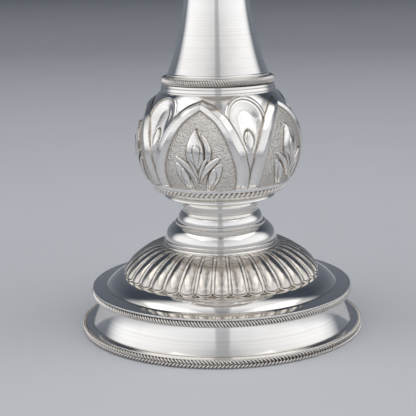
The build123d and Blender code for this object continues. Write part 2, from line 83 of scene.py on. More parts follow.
def arc_to(bm, tip, radius, height, sag, steps=14):
    """Arc of the section that passes sag to the left of its chord, made by a spin."""
    start, end = tip.co.copy(), Vector((radius, 0, height))
    chord = end - start
    left = Vector((-chord.z, 0, chord.x)).normalized()
    bend = (chord.length_squared / 4 + sag * sag) / (2 * sag)
    centre = (start + end) / 2 + left * (sag - bend)
    sweep = 4 * math.atan(2 * sag / chord.length)
    made = bmesh.ops.spin(bm, geom=[tip], cent=centre, axis=(0, 1, 0), angle=sweep, steps=steps)
    last = next(part for part in made["geom_last"] if isinstance(part, bmesh.types.BMVert))
    if (last.co - end).length > 1e-3:
        raise ValueError(f"arc ends at {last.co}, not at {end}")
    return last


def draw_section(bm, start, *runs):
    """Closed half section. A run is (radius, height) for a line, with a sag for an arc, and steps."""
    first = tip = pen_down(bm, *start)
    for run in runs:
        tip = line_to(bm, tip, *run) if len(run) == 2 else arc_to(bm, tip, *run)
    bmesh.ops.contextual_create(bm, geom=[tip, first])


print("pen: a long run has points", CORNER_REACH, "mm from its ends")

# %% [markdown]
# ## The lathe
# The section is spun once about the axis. A spin of one sector, copied round and welded,
# is much quicker than one long spin. The crisp corners then get a small bevel, because no
# polished edge is a knife edge. Inner corners are marked as recess, since a cloth doesn't
# get into them. A wide corner keeps less than a sharp one.

# %% Lathe
TURN_STEPS = 240             # steps of one full turn of a plain shell
CRISP = math.radians(24)     # a sharper corner than this is bevelled
HOLLOW = math.radians(6)     # a hollow edge sharper than this is an inner corner
SHARP = math.radians(30)     # an inner corner this sharp keeps the full tarnish
CORNER_TARNISH = 0.65


def spin_round(bm, steps):
    """Full turn in two stages: one sector is spun, then copies of it go round and are welded."""
    sectors = max(count for count in range(1, math.isqrt(steps) + 1) if steps % count == 0)
    axis = {"cent": (0, 0, 0), "axis": (0, 0, 1)}
    bmesh.ops.spin(bm, geom=bm.verts[:] + bm.edges[:], angle=math.tau / sectors,
                   steps=steps // sectors, **axis)
    bmesh.ops.spin(bm, geom=bm.verts[:] + bm.edges[:] + bm.faces[:], steps=sectors - 1,
                   angle=math.tau * (sectors - 1) / sectors, use_duplicate=True, **axis)
    bmesh.ops.remove_doubles(bm, verts=bm.verts, dist=1e-4)
    bmesh.ops.recalc_face_normals(bm, faces=bm.faces)


def turn(bm, steps=TURN_STEPS, edge_round=0.12):
    """Full turn of the section, with its crisp edges rounded and its inner corners marked."""
    spin_round(bm, steps)
    crisp = [edge for edge in bm.edges if edge.is_manifold and edge.calc_face_angle() > CRISP]
    if edge_round and crisp:
        bmesh.ops.bevel(bm, geom=crisp, offset=edge_round, offset_type="OFFSET", segments=3,
                        profile=0.5, affect="EDGES", clamp_overlap=True, material=-1)
    tarnish_and_shade = bm.verts.layers.float.new("tarnish_and_shade")
    for edge in bm.edges:
        bend = edge.calc_face_angle() if edge.is_manifold and not edge.is_convex else 0
        if bend > HOLLOW:
            held = CORNER_TARNISH * min(1, bend / SHARP)
            for vertex in edge.verts:
                vertex[tarnish_and_shade] = max(vertex[tarnish_and_shade], held)


print("lathe: a plain shell is turned in", TURN_STEPS, "steps")

# %% [markdown]
# ## Putting a piece on the lamp
# Each finished piece is scaled to metres once, shaded smooth, given its finish, and tied to
# the frame: it rides on a body, and the node that it covers is hidden.
# A Weighted Normal modifier lets the large faces rule the shading, so that a flat stays
# flat beside its small bevel instead of looking like a pillow.

# %% Finish a piece
def finish_piece(bm, name, node, finish, body="lamp", weighted=True):
    """Turns a bmesh in millimetres into a piece that rides on a body in place of a node."""
    bmesh.ops.scale(bm, vec=(MM, MM, MM), verts=bm.verts)
    mesh = bpy.data.meshes.new(name)
    bm.to_mesh(mesh)
    bm.free()
    mesh.shade_smooth()
    mesh.materials.append(finish)
    piece = bpy.data.objects.new(name, mesh)
    bpy.context.scene.collection.objects.link(piece)
    if weighted:
        piece.modifiers.new("flats stay flat", "WEIGHTED_NORMAL").keep_sharp = True
    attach(piece, body)
    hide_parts(node)
    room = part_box(node)[1].x
    reach = max(vertex.co.xy.length for vertex in mesh.vertices)
    print(f"{name}: {len(mesh.polygons)} faces, radius {reach / MM:.2f} mm over {room / MM:.2f} mm")
    return piece


def turned_piece(node, start, *runs, edge_round=0.12, steps=TURN_STEPS):
    """A plain shell of bright silver: section, turn, finish."""
    bm = bmesh.new()
    draw_section(bm, start, *runs)
    turn(bm, steps, edge_round)
    return finish_piece(bm, f"silver_{node}", node, bright_silver)


# %% [markdown]
# ## Finishes from nodes
# Every finish is a small tree of nodes under one shader, so a few helpers keep the trees
# readable: noise over a place, a range moved to another range, two sockets combined, a
# ramp of colours, and a bump on top of the bump below it. For turned metal, ring_place
# gives the distance from the axis and the height, so that noise over it runs in rings.
# Lights and the room are small trees too, and use the same helpers.

# %% Node trees
def tree_tools(tree):
    """Node maker and linker of a tree. A value goes to the input of that name, or to the node."""
    def add(kind, **values):
        node = tree.nodes.new(kind)
        for key, value in values.items():
            if key in node.inputs:
                node.inputs[key].default_value = value
            else:
                setattr(node, key, value)
        return node

    return add, tree.links.new


def new_finish(name):
    """Empty node material with its shader: (material, node maker, linker, shader)."""
    material = bpy.data.materials.new(name)
    material.use_nodes = True
    return material, *tree_tools(material.node_tree), material.node_tree.nodes["Principled BSDF"]


def ring_place(add, link):
    """Object coordinates, and the distance from the axis and height of a point as a vector."""
    place = add("ShaderNodeTexCoord").outputs["Object"]
    parts = add("ShaderNodeSeparateXYZ")
    link(place, parts.inputs[0])
    flat = add("ShaderNodeCombineXYZ")
    link(parts.outputs["X"], flat.inputs["X"])
    link(parts.outputs["Y"], flat.inputs["Y"])
    radius = add("ShaderNodeVectorMath", operation="LENGTH")
    link(flat.outputs[0], radius.inputs[0])
    rings = add("ShaderNodeCombineXYZ")
    link(radius.outputs["Value"], rings.inputs["X"])
    link(parts.outputs["Z"], rings.inputs["Z"])
    return place, rings.outputs[0]


print("a finish starts as one shader, with a node maker and a linker")

# %% One helper for each kind of node
def noise(add, link, vector, scale, detail, roughness=0.5):
    """Noise over a vector."""
    node = add("ShaderNodeTexNoise", Scale=scale, Detail=detail, Roughness=roughness)
    link(vector, node.inputs["Vector"])
    return node.outputs["Fac"]


def remap(add, link, source, low, high, start, end, curve="LINEAR"):
    """Map Range from low..high to start..end."""
    node = add("ShaderNodeMapRange", interpolation_type=curve)
    link(source, node.inputs["Value"])
    for key, value in (("From Min", low), ("From Max", high), ("To Min", start), ("To Max", end)):
        node.inputs[key].default_value = value
    return node.outputs["Result"]


def combine(add, link, operation, first, second):
    """Math node of two sockets, or of a socket and a number."""
    node = add("ShaderNodeMath", operation=operation)
    link(first, node.inputs[0])
    if isinstance(second, float):
        node.inputs[1].default_value = second
    else:
        link(second, node.inputs[1])
    return node.outputs[0]


def tint(add, link, source, first, last, *between):
    """Ramp from a first to a last colour, with (place, colour) stops between them."""
    node = add("ShaderNodeValToRGB")
    stops = node.color_ramp.elements
    stops[0].color = (*first, 1)
    stops[1].color = (*last, 1)
    for place, colour in between:
        stops.new(place).color = (*colour, 1)
    link(source, node.inputs["Fac"])
    return node.outputs["Color"]


def bump(add, link, height, depth, below=None, strength=None):
    """Normal of a bump with a depth in metres, on top of the bump below it."""
    node = add("ShaderNodeBump", Strength=1.0, Distance=depth)
    link(height, node.inputs["Height"])
    if below:
        link(below, node.inputs["Normal"])
    if strength:
        link(strength, node.inputs["Strength"])
    return node.outputs["Normal"]


print("node helpers: noise, remap, combine, tint, bump")

# %% [markdown]
# ## Polished silver
# Old silver is not a perfect mirror. It has rings left by the lathe, a slow unevenness
# from raising it by hand, soft smudges in the gloss, and a warm grey film of tarnish in
# every recess that a cloth can't reach. A trace of it stays in the lathe rings too, and
# shows as faint lines. Two attributes are read: the first, which the lathe and the relief
# cells write, holds that tarnish and also painted shade on the dome, in the rope valleys and
# under the bowl; stipple says where the ground is punched matte. A piece without them reads zero. The
# chased finish has finer, deeper waves, from many small blows.

# %% Silver finish
# The film colours, and the share of them that looks warm grey, stand for tarnish and also for painted
# shade.
CLEAN_SILVER, WARM_FILM_AND_SHADE, BLACK_FILM_AND_SHADE = (0.95, 0.93, 0.90), (0.63, 0.57, 0.50), (0.05, 0.043, 0.037)
WARM_AT = 0.4                # share of tarnish that looks warm grey
RING_FILM, CLOUD_FILM, PIT_FILM = 0.11, 0.10, 0.26   # most tarnish in rings, smudges and pits
MATTE = 0.22                 # roughness added by full tarnish, and by the punched ground
PUNCH_DEPTH = 0.0003


def silver_finish(name, gloss=0.075, ring_depth=0.000011, wave_depth=0.00004, wave_scale=75.0):
    """Polished silver with lathe rings, hand raised waves, smudges, tarnish, painted shade and matte
    stipple.
    """
    material, add, link, shader = new_finish(name)
    shader.inputs["Metallic"].default_value = 1.0
    place, rings = ring_place(add, link)
    tarnish_and_shade = add("ShaderNodeAttribute", attribute_name="tarnish_and_shade").outputs["Fac"]
    stipple = add("ShaderNodeAttribute", attribute_name="stipple").outputs["Fac"]
    cloud = noise(add, link, place, 55.0, 4.0, 0.6)
    fleck = noise(add, link, place, 900.0, 3.0, 0.6)
    ring = noise(add, link, rings, 1300.0, 5.0, 0.65)
    wave = noise(add, link, place, wave_scale, 1.0)
    cells = add("ShaderNodeTexVoronoi", Scale=2000.0)
    link(place, cells.inputs["Vector"])
    punch = cells.outputs["Distance"]

    # The first attribute brings tarnish and painted shade into the film; rings, smudges and pits add
    # tarnish.
    film_and_shade = combine(add, link, "MULTIPLY", tarnish_and_shade, remap(add, link, fleck, 0.3, 0.7, 0.65, 1.0))
    pits = remap(add, link, punch, 0.2, 0.65, 0.0, PIT_FILM)
    for more in (remap(add, link, ring, 0.42, 0.72, 0.0, RING_FILM),
                 remap(add, link, cloud, 0.52, 0.8, 0.0, CLOUD_FILM),
                 combine(add, link, "MULTIPLY", stipple, pits)):
        film_and_shade = combine(add, link, "ADD", film_and_shade, more)
    colour = tint(add, link, film_and_shade, CLEAN_SILVER, BLACK_FILM_AND_SHADE, (WARM_AT, WARM_FILM_AND_SHADE))
    link(colour, shader.inputs["Base Color"])

    rough = remap(add, link, cloud, 0.35, 0.7, gloss * 0.75, gloss * 1.5)
    for dull in (tarnish_and_shade, stipple):
        rough = combine(add, link, "ADD", rough, combine(add, link, "MULTIPLY", dull, MATTE))
    link(rough, shader.inputs["Roughness"])

    raised = bump(add, link, wave, wave_depth)
    turned = bump(add, link, ring, ring_depth, raised)
    link(bump(add, link, punch, PUNCH_DEPTH, turned, stipple), shader.inputs["Normal"])
    return material


bright_silver = silver_finish("bright_silver")
chased_silver = silver_finish("chased_silver", gloss=0.07, wave_depth=0.00012, wave_scale=330.0)
for silver in (bright_silver, chased_silver):
    print("finish:", silver.name, "with", len(silver.node_tree.nodes), "nodes")

# %% [markdown]
# ## Foot drum
# The foot is a low drum with a turned rim. Its wall is hollow like a saddle and draws in
# towards the plate, and a flat ledge leads out to the edge that carries the ropes. It is
# one closed section, outside and inside, because the wall is a sheet and not a block.

# %% Turn the foot drum
turned_piece(
    "foot_drum",
    (41.25, 1.6), (41.25, 0.0), (43.8, 0.0), (43.8, 2.6), (41.6, 2.6), (38.2, 11.0, 0.42),
    (37.2, 11.0), (40.6, 2.6, -0.42), (40.6, 1.6), edge_round=0.16)

# %% [markdown]
# ## Foot plate
# The plate lies on the drum and oversails it. From its edge inwards it has the seat of a
# rope, a thin lip, a nearly flat ring, and a convex ring moulding that carries the dome.
# The underside is a plain hollow that nobody sees, so it takes as few points as it can.

# %% Turn the foot plate
turned_piece(
    "foot_plate",
    (35.7, 11.0), (40.3, 11.0), (40.3, 13.3), (41.3, 13.3), (41.3, 13.85), (36.8, 14.2),
    (31.8, 17.3, -0.5), (28.5, 17.3), (28.5, 16.3), (30.8, 16.3), (35.7, 13.2), edge_round=0.14)

# %% [markdown]
# ## Points as arrays
# Dome, knop, ropes and cotton get their shape by moving the points of a plain turned or
# pulled form, as a punch or a twist does. That is quickest with all points in one array.
# These helpers take the points out of a bmesh, put them back, and store one number for
# each point, which the finish reads as an attribute.

# %% Point helpers
def read_points(bm):
    """Places of the vertices of a bmesh, as an array."""
    return np.array([vertex.co[:] for vertex in bm.verts])


def write_points(bm, points):
    """Moves the vertices of a bmesh to new places."""
    for vertex, place in zip(bm.verts, points):
        vertex.co = place


def write_layer(piece, name, values):
    """Stores one number per vertex for the finish to read."""
    layer = piece.data.attributes.get(name) or piece.data.attributes.new(name, "FLOAT", "POINT")
    layer.data.foreach_set("value", np.asarray(values, np.float32))


def front_angle(points):
    """Angle round the axis in degrees: 0 at the front, growing to the right."""
    return np.degrees(np.arctan2(points[:, 0], -points[:, 1]))


print("point helpers: read_points, write_points, write_layer, front_angle")

# %% [markdown]
# ## Gadrooned dome
# The dome was raised as a plain bulge and then pushed out into thirty six tongues, each
# with a round lower end that stands on the moulding and a fine raised outline. Modelling
# each tongue by itself would leave seams, so the plain bulge is turned with many steps and
# its points are then moved, as the punch does. First they slide over the bulge, so that
# rows of points follow the round ends. Then they rise: along a tongue by its crest line,
# an ellipse laid on the slope, and across it by part of a half circle. Every tongue
# differs by a hair in length, height and place, as hand work does.

# %% Turn the plain bulge
LOBES = 36
LOBE_STEPS = 24              # spin steps across one tongue
DOME_FOOT = (29.83, 16.02)   # below the moulding, out of sight
DOME_TOP = (18.2, 26.5)
DOME_BULGE = 2.24
DOME_ROWS = 72               # spin steps from foot to top


def arc_centre(start, end, sag):
    """Centre and radius of an arc that passes sag to the right of its chord."""
    start, end = np.array(start), np.array(end)
    chord = end - start
    length = np.hypot(*chord)
    right = np.array([chord[1], -chord[0]]) / length
    bend = (length ** 2 / 4 + sag ** 2) / (2 * sag)
    return (start + end) / 2 - right * (bend - sag), bend


def slope_of(centre, place):
    """Angle of a place in the section about the centre of the bulge."""
    return math.atan2(place[1] - centre[1], place[0] - centre[0])


bm = bmesh.new()
draw_section(bm, DOME_FOOT, (*DOME_TOP, -DOME_BULGE, DOME_ROWS), (14.9, 26.5), (14.9, 25.3),
             (28.6, 16.02, DOME_BULGE, 6))
turn(bm, LOBES * LOBE_STEPS, edge_round=0)

points = read_points(bm)
centre, core = arc_centre(DOME_FOOT, DOME_TOP, DOME_BULGE)
radial = np.stack([np.hypot(points[:, 0], points[:, 1]), points[:, 2]], 1) - centre
outside = np.abs(np.hypot(*radial.T) - core) < 1e-3
low_slope, high_slope = slope_of(centre, DOME_FOOT), slope_of(centre, DOME_TOP)
bulge_length = core * (high_slope - low_slope)
row = (np.arctan2(radial[:, 1], radial[:, 0]) - low_slope) * core / bulge_length * DOME_ROWS
print("bulge:", len(points), "points over", round(bulge_length, 2), "mm of slope")

# %% Slide the points into tongues
CREST_FOOT = np.array([31.05, 17.15])
CREST_TOP = np.array([18.25, 26.3])
CROWDING = 1.4               # power that draws the points towards the edges of a tongue
BOW_WIDTH = 1.04             # half width of the bow of an end, over 1 so that it never stands upright
ROUND_FOOT, ROUND_TOP = 1.8, 1.0             # how far the ends of a tongue bow
TOP_GAP = 0.1                                # plain ground above a tongue
LIP, RIM_WIDTH = 0.3, 0.55                   # rounding of an end, and the outline inside it
GROUND_ROWS, LIP_ROWS, RIM_ROWS = 3, 6, 6    # rows of points for ground, rounding and outline
hand_work = np.random.default_rng(36)

share = 360 / LOBES
angle = front_angle(points)
lobe_count = np.floor(angle / share + 0.5)
lobe = lobe_count.astype(int) % LOBES
across = (angle / share + 0.5 - lobe_count) * 2 - 1
across = np.sign(across) * (1 - (1 - np.abs(across)) ** CROWDING)
angle = (lobe_count + across / 2) * share


def by_hand(least, most):
    """A small difference of each tongue, which fades out towards its edges."""
    return hand_work.uniform(least, most, LOBES)[lobe] * (1 - across ** 2)


def lip_run(rows):
    """Way in from the end of a tongue, and share of its full height, by rows from that end."""
    quarter = np.radians(90) * np.clip(rows / LIP_ROWS, 0, 1)
    beyond = np.clip((rows - LIP_ROWS) / RIM_ROWS, 0, 1)
    return LIP * (1 - np.cos(quarter)) + RIM_WIDTH * beyond, np.sin(quarter)


across = across + by_hand(-0.04, 0.04)
bow = 1 - np.sqrt(1 - (across / BOW_WIDTH) ** 2)
foot_end = core * (slope_of(centre, CREST_FOOT) - low_slope) + ROUND_FOOT * bow
foot_end += by_hand(0.0, 0.2)
top_end = bulge_length - TOP_GAP - ROUND_TOP * bow - by_hand(0.0, 0.15)

foot_in, foot_rise = lip_run(row - GROUND_ROWS)
top_in, top_rise = lip_run(DOME_ROWS - GROUND_ROWS - row)
edge_rows = GROUND_ROWS + LIP_ROWS + RIM_ROWS
middle = np.clip((row - edge_rows) / (DOME_ROWS - 2 * edge_rows), 0, 1)
along = (foot_end + foot_in) * (1 - middle) + (top_end - top_in) * middle
along = np.where(row < GROUND_ROWS, foot_end * row / GROUND_ROWS, along)
from_top = np.clip((DOME_ROWS - row) / GROUND_ROWS, 0, 1)
along = np.where(from_top < 1, bulge_length + (top_end - bulge_length) * from_top, along)
slope = low_slope + along / core
print("tongues:", LOBES, "of about", round(float(np.mean(top_end - foot_end)), 2), "mm")

# %% Raise the tongues
CREST_RISE = 2.7             # height of a crest over the line from its foot to its top
LEAST_RISE = 0.25
LOBE_WIDTH = 1.16            # over 1, so that neighbours meet above the ground
RIM_RISE, RIM_AT = 0.13, 0.12                # raised outline, and how far it is from the edge
GROOVE_SINK, GROOVE_AT = 0.12, 0.42          # groove inside it
RIM_SPREAD = 0.13
GROUND_SHARE = 0.4           # height of the ground between two round ends, of a tongue's

crest_turn = np.radians(np.linspace(-10, 178, 120))
crest_run = (CREST_TOP - CREST_FOOT) / 2
crest_up = np.array([crest_run[1], -crest_run[0]]) / np.hypot(*crest_run) * CREST_RISE
crest = ((CREST_FOOT + CREST_TOP) / 2 - np.outer(np.cos(crest_turn), crest_run)
         + np.outer(np.sin(crest_turn), crest_up)) - centre
crest_height = np.interp(slope, np.arctan2(crest[:, 1], crest[:, 0]), np.hypot(*crest.T) - core)
crest_height = np.clip(crest_height, LEAST_RISE, None)
crest_height *= 1 + by_hand(-0.05, 0.05)

half_pitch = np.radians(share / 2) * (centre[0] + core * np.cos(slope))
end_gap = np.minimum(along - foot_end, top_end - along)
edge_gap = np.minimum((1 - np.abs(across)) * half_pitch, end_gap)
outline = (RIM_RISE * np.exp(-((edge_gap - RIM_AT) / RIM_SPREAD) ** 2)
           - GROOVE_SINK * np.exp(-((edge_gap - GROOVE_AT) / RIM_SPREAD) ** 2))
push = crest_height * np.sqrt(1 - (across / LOBE_WIDTH) ** 2) + outline
ground = GROUND_SHARE * np.clip(row / GROUND_ROWS, 0, 1)
push = np.where(outside, push * (ground + (1 - GROUND_SHARE) * foot_rise) * top_rise, 0)

reach = centre[0] + (core + push) * np.cos(slope)
around = np.radians(angle)
raised = np.column_stack([reach * np.sin(around), -reach * np.cos(around),
                          centre[1] + (core + push) * np.sin(slope)])
write_points(bm, np.where(outside[:, None], raised, points))
bmesh.ops.recalc_face_normals(bm, faces=bm.faces)
print("crests stand up to", round(float(push.max()), 2), "mm over the bulge")

# %% [markdown]
# The groove inside each outline holds the darkest line, of tarnish. The ground between the
# lower ends is dull and darker with tarnish and painted shadow under the ends, and the tongues get a
# light painted shade inside their outlines.

# %% Finish the dome
GROOVE_TARNISH, GROUND_TARNISH_AND_SHADOW, LOBE_SHADE = 0.95, 0.6, 0.3
dome_tarnish_and_shade = GROOVE_TARNISH * np.exp(-((edge_gap - 0.45) / 0.15) ** 2)
# tarnish and painted shadow on the ground under the lower ends
dome_tarnish_and_shade += GROUND_TARNISH_AND_SHADOW * (row < GROUND_ROWS + 2)
# painted shade over each tongue inside its outline
dome_tarnish_and_shade += LOBE_SHADE * np.clip((edge_gap - 0.3) / 0.3, 0, 1)
gadroon_dome = finish_piece(bm, "silver_gadroon_dome", "gadroon_dome", chased_silver, weighted=False)
write_layer(gadroon_dome, "tarnish_and_shade", np.where(outside, np.clip(dome_tarnish_and_shade, 0, 1), 0))

# %% [markdown]
# ## Collar and neck bell
# A small bead and groove ring covers the joint between dome and bell. The bell itself has
# a thin lip, a convex skirt, a narrow step and a swelling band, and ends in the waist.
# Both are plain turned shells, and their charm is in the crisp changes of direction.

# %% Turn collar and bell
turned_piece(
    "dome_collar",
    (14.6, 26.5), (17.7, 26.5), (17.7, 27.5, -0.5), (17.5, 27.5), (17.5, 28.1), (14.6, 28.1),
    edge_round=0.05)
turned_piece(
    "neck_bell",
    (15.6, 28.1), (17.7, 28.1), (17.7, 28.8, -0.35, 8), (14.9, 33.4, -0.75), (14.3, 33.4),
    (14.3, 34.3), (13.6, 34.3), (12.0, 37.7, -0.45), (12.0, 38.3), (11.0, 38.3), (11.0, 37.7),
    (12.6, 34.3), (15.6, 28.8), edge_round=0.1)

# %% [markdown]
# ## Knop cup and band
# The knop stands in a flared cup. A small ring leans in under the cup's rope and catches
# the light. A plain band with two scribed lines closes the knop under the upper rope. The
# scribed lines are real grooves in the section, so they show from any side.

# %% Turn cup and band
turned_piece(
    "knop_cup",
    (11.0, 38.3), (12.0, 38.3), (17.0, 42.4, 0.5), (17.6, 42.4), (17.0, 43.6, -0.15, 6),
    (19.0, 44.7), (19.0, 46.9), (22.2, 46.9), (22.2, 47.8), (18.0, 47.8), (18.0, 44.7),
    (16.0, 43.6), (11.0, 39.3), edge_round=0.14)
turned_piece(
    "knop_band",
    (14.0, 75.6), (18.0, 75.6), (17.93, 75.95), (17.75, 76.05), (17.86, 76.2), (17.68, 77.0),
    (17.5, 77.1), (17.62, 77.25), (17.5, 77.9), (16.1, 77.9), (16.1, 80.2), (14.0, 80.2),
    edge_round=0.04)

# %% [markdown]
# ## Knop shell
# The knop is the showpiece: a bulb with five pointed petals in front of five rounded
# ones, all raised from behind and chased from the front. Cutting each outline into a
# mesh would give a web of odd faces, so the bulb is turned as a fine even grid and its
# points are pushed in and out, as the chasing tools do. Outlines are half widths by
# height, read through a smooth curve, and a distance from the outline shapes each edge.

# %% Smooth curves and soft edges
LEAF_ROUND = 0.6             # power that rounds the ends of a leaf
LINE_WIDTH = 0.3


def smooth_curve(where, heights, values):
    """Smooth curve through (height, value) pairs, by cubic pieces."""
    heights, values = np.array(heights, float), np.array(values, float)
    slopes = np.gradient(values, heights)
    where = np.clip(where, heights[0], heights[-1])
    piece = np.clip(np.searchsorted(heights, where) - 1, 0, len(heights) - 2)
    gap = heights[piece + 1] - heights[piece]
    t = (where - heights[piece]) / gap
    return ((1 + 2 * t) * (1 - t) ** 2 * values[piece] + t * (1 - t) ** 2 * gap * slopes[piece]
            + t ** 2 * (3 - 2 * t) * values[piece + 1] + t ** 2 * (t - 1) * gap * slopes[piece + 1])


def ramp(distance, width):
    """Soft step from 0 to 1 over a width, centred on zero."""
    t = np.clip(distance / width + 0.5, 0, 1)
    return t * t * (3 - 2 * t)


def leaf(x, z, root, point, half_width, bow=0.0, blunt=0.75):
    """Pillow shaped leaf from a root to a point: 1 on its spine, 0 at its edge and outside."""
    root, point = np.array(root), np.array(point)
    run = point - root
    length = np.hypot(*run)
    run = run / length
    along = ((x - root[0]) * run[0] + (z - root[1]) * run[1]) / length
    side = (x - root[0]) * -run[1] + (z - root[1]) * run[0]
    inside = np.clip(along, 0, 1)
    side = side - bow * 4 * inside * (1 - inside)
    reach = half_width * np.maximum(np.sin(np.pi * inside ** blunt), 1e-4) ** LEAF_ROUND
    return np.where((along > 0) & (along < 1), np.sqrt(np.clip(1 - (side / reach) ** 2, 0, 1)), 0)


def rim_line(shape, half_width):
    """Fine line just inside the edge of a leaf."""
    gap = (1 - np.sqrt(1 - shape ** 2)) * half_width
    return (shape > 0) * np.clip(1.5 - gap / LINE_WIDTH, 0, 1)


def fine_line(distance, width):
    """Soft line where a distance is zero."""
    return np.exp(-(distance / width) ** 2)


print("chasing tools: smooth_curve, ramp, leaf, rim_line, fine_line")

# %% Turn the bulb
KNOP_FOOT, KNOP_BELLY, KNOP_TOP = (22.2, 47.8), (25.4, 58.5), (18.0, 75.6)
KNOP_STEPS = 720
LOW_ROWS, HIGH_ROWS = 46, 76
KNOP_WALL = 2.4              # deep enough to stay behind the hollow petals
INSIDE_ROWS = 4


def tangent_bend(belly, end):
    """Radius of the arc that leaves the belly straight up or down and reaches an end."""
    across, rise = belly[0] - end[0], end[1] - belly[1]
    return (across ** 2 + rise ** 2) / (2 * across)


def tangent_sag(belly, end):
    """Sag of that arc over its chord."""
    bend = tangent_bend(belly, end)
    return bend - math.sqrt(bend ** 2 - math.dist(belly, end) ** 2 / 4)


low_sag, high_sag = tangent_sag(KNOP_BELLY, KNOP_FOOT), tangent_sag(KNOP_BELLY, KNOP_TOP)
bm = bmesh.new()
draw_section(bm, KNOP_FOOT, (*KNOP_BELLY, -low_sag, LOW_ROWS), (*KNOP_TOP, -high_sag, HIGH_ROWS),
             (KNOP_TOP[0] - KNOP_WALL, KNOP_TOP[1]),
             (KNOP_BELLY[0] - KNOP_WALL, KNOP_BELLY[1], high_sag, INSIDE_ROWS),
             (KNOP_FOOT[0] - KNOP_WALL, KNOP_FOOT[1], low_sag, INSIDE_ROWS))
turn(bm, KNOP_STEPS, edge_round=0)
print("bulb:", len(bm.faces), "faces")

# %% Places on the bulb
PETALS = 5
PETAL_SHARE = 360 / PETALS
PETAL_TURN = -14.5           # front petal stands a little left of the front

points = read_points(bm)
radius, height = np.hypot(points[:, 0], points[:, 1]), points[:, 2]
low_bend, high_bend = tangent_bend(KNOP_BELLY, KNOP_FOOT), tangent_bend(KNOP_BELLY, KNOP_TOP)
bend = np.where(height > KNOP_BELLY[1], high_bend, low_bend)
bulb = KNOP_BELLY[0] - bend + np.sqrt(np.clip(bend ** 2 - (height - KNOP_BELLY[1]) ** 2, 0, None))
outside = np.abs(radius - bulb) < 0.02

turned_from_front = front_angle(points) - PETAL_TURN
petal_angle = (turned_from_front + PETAL_SHARE / 2) % PETAL_SHARE - PETAL_SHARE / 2
round_angle = turned_from_front % PETAL_SHARE - PETAL_SHARE / 2
arc_mm = np.radians(1) * bulb
x_petal, x_round = petal_angle * arc_mm, round_angle * arc_mm
print("bulb outside:", int(outside.sum()), "points,", PETALS, "petals of", PETAL_SHARE, "degrees")

# %% [markdown]
# A pointed petal has a broad border with a ridge along it, round a sunk field. The outer
# and the inner outline of the border are given as half angles by height, so that the
# petals grow with the bulb.

# %% Border of the pointed petals
RIDGE_AT = 0.45              # where the ridge runs across the border
BORDER_BASE, RIDGE_RISE = 0.28, 0.66


def outline_distance(x, half_angles, heights):
    """Rough distance outside an outline given as half angles by height, in millimetres."""
    half = smooth_curve(height, heights, half_angles) * arc_mm
    lift = 0.05
    higher = smooth_curve(height + lift, heights, half_angles) * arc_mm
    return (np.abs(x) - half) / np.sqrt(1 + ((higher - half) / lift) ** 2)


outer = outline_distance(
    x_petal, (36.5, 36, 35.5, 34, 32.3, 29.5, 25, 17.3, 9, 0, -12),
    (47, 50, 54, 56.7, 60, 63, 67, 71, 73.2, 74.4, 76.4))
inner = outline_distance(
    x_petal, (26.0, 26.3, 25.5, 24, 21.2, 16.8, 9.8, 0, -14),
    (47, 50.5, 54.5, 57, 60.7, 65, 69, 71.7, 74.5))
across = np.clip(inner / np.maximum(inner - outer, 1e-6), 0, 1)
in_petal, in_border = ramp(-outer, 0.35), ramp(inner, 0.45)
ridge = np.where(across < RIDGE_AT, across / RIDGE_AT, 1 - (across - RIDGE_AT) / (1 - RIDGE_AT))
border = BORDER_BASE + RIDGE_RISE * ridge
print("borders cover", round(float((in_petal * in_border)[outside].mean()) * 100), "% of the bulb")

# %% [markdown]
# In the field grows a sprig: a bud with a folded side and a heart, two sepals and two
# blades in front of it, and two husks with a seed at the foot. Each is a leaf given by its
# root, its point and its half width. What lies in front hides what is behind, so the
# heights are not added but chosen, and a fine line goes round every leaf.

# %% Sprig in the field
BUD, BUD_SIDE, HEART, SEPAL, BLADE, HUSK, SEED = 3.1, 1.4, 1.3, 0.75, 1.15, 1.85, 1.3   # half widths
CREASE_HEIGHTS, CREASE_PLACES = (56.6, 59.1, 61.6, 64.0, 66.6), (2.0, 2.1, 1.65, 0.6, -0.5)

bud = leaf(x_petal, height, (-0.8, 54.8), (-0.55, 66.8), BUD, blunt=0.75)
bud_side = leaf(x_petal, height, (2.6, 56.0), (0.6, 65.4), BUD_SIDE, bow=-1.2, blunt=0.8)
heart = leaf(x_petal, height, (0.0, 54.6), (-0.45, 62.2), HEART, blunt=2.2)
bud_crease = fine_line(x_petal - smooth_curve(height, CREASE_HEIGHTS, CREASE_PLACES), 0.3) * (bud > 0)
motif = np.maximum(1.0 * bud, 0.75 * bud_side) - 0.5 * bud_crease
motif = np.where(heart > 0, motif - 0.36 + 0.55 * heart, motif)
lines = 1.2 * bud_crease + rim_line(bud, BUD)
lines = lines + rim_line(bud_side, BUD_SIDE) * (bud <= 0) + rim_line(heart, HEART)
for side in (-1, 1):
    root = side * 0.1
    sepal = leaf(x_petal, height, (root, 51.6), (side * 3.3, 58.6), SEPAL, bow=side * 0.5, blunt=1.2)
    blade = leaf(x_petal, height, (root, 49.8), (side * 6.9, 58.6), BLADE, bow=side * 1.05, blunt=1.7)
    husk = leaf(x_petal, height, (side * 1.6, 46.2), (side * 6.9, 56.5), HUSK, bow=side * 0.2, blunt=1.4)
    seed = leaf(x_petal, height, (side * 1.8, 46.2), (side * 4.9, 54.7), SEED, blunt=2.6)
    low_leaf = np.where(seed > 0, 0.1 + 0.6 * seed, 0.5 * husk)
    fore = np.maximum(0.9 * blade, 0.75 * sepal)
    motif = np.maximum(np.where(fore > 0, fore, motif), low_leaf * (fore <= 0))
    lines = np.where(fore > 0, 0, lines) + rim_line(blade, BLADE) + rim_line(sepal, SEPAL) * (blade <= 0)
    lines += (rim_line(seed, SEED) + rim_line(husk, HUSK)) * (fore <= 0)
print("sprig stands up to", round(float(motif.max()), 2), "mm over the field")

# %% [markdown]
# The ground of the field is punched all over. The dents are two waves that cross, each bent
# by a slower one, so that no row shows.

